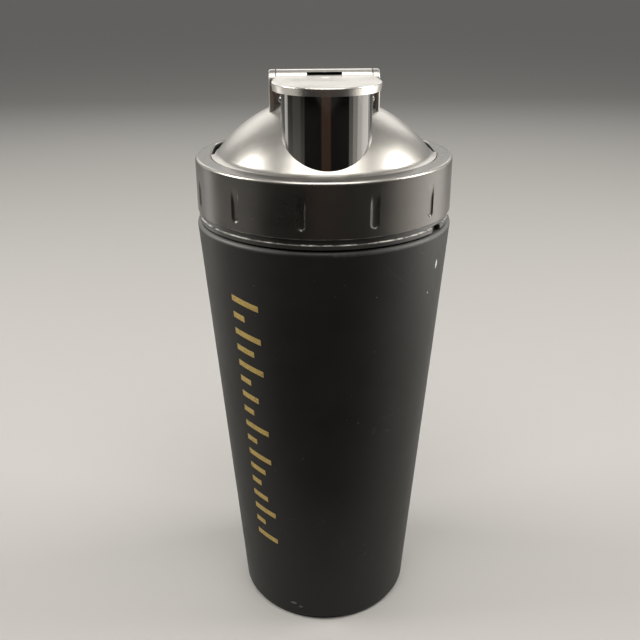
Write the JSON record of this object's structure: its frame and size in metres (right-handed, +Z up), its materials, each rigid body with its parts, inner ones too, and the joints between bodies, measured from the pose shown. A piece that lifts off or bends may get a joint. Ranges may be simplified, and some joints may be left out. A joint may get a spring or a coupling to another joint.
{
  "type": "protein shaker bottle",
  "caption": "Tapered black steel shaker cup with a screw-on domed lid, a glossy side-set spout, a hinged flip cap and a strainer under the lid.",
  "frame": {"origin": "centre of the base pad's lower face, on the surface the bottle stands on", "axes": "+Z up along the cup's axis; -Y is the front, where the spout is; +X is to the right seen from the front"},
  "size_m": [0.0958, 0.0958, 0.2219],
  "materials": {
    "cup_coat": "satin black powder coat",
    "bare_steel": "satin",
    "black_plastic": "matte",
    "collar_coat": "satin gunmetal",
    "dome_coat": "satin metallic gunmetal",
    "spout_gloss": "mirror gloss black",
    "silicone": "matte silicone",
    "pad_rubber": "matte rubber"
  },
  "bodies": {
    "cup": {"cup_wall": "cup_coat", "cup_bottom": "bare_steel", "base_pad": "pad_rubber", "neck_ring": "black_plastic"},
    "strainer": {"mixing_grid": "black_plastic"},
    "lid": {"lid_liner": "black_plastic", "lid_collar": "collar_coat", "lid_gasket": "silicone", "lid_dome": "dome_coat", "spout_sleeve": "spout_gloss", "hinge_pin": "bare_steel"},
    "cap": {"flip_cap": "dome_coat", "cap_seal": "silicone"}
  },
  "joints": [
    {"name": "lid_rise", "type": "slide", "parent": "cup", "child": "strainer", "axis": [0, 0, 1], "range_m": [0, 0.0226]},
    {"name": "lid_turn", "type": "hinge", "parent": "strainer", "child": "lid", "pos_m": [0, 0, 0.18], "axis": [0, 0, 1], "range_deg": [0, 900]},
    {"name": "cap_flip", "type": "hinge", "parent": "lid", "child": "cap", "pos_m": [0, -0.0035, 0.2178], "axis": [-1, 0, 0], "range_deg": [0, 190]}
  ],
  "couplings": [
    {"joint": "lid_rise", "follows": "lid_turn", "m_per_rad": 0.0014324}
  ]
}
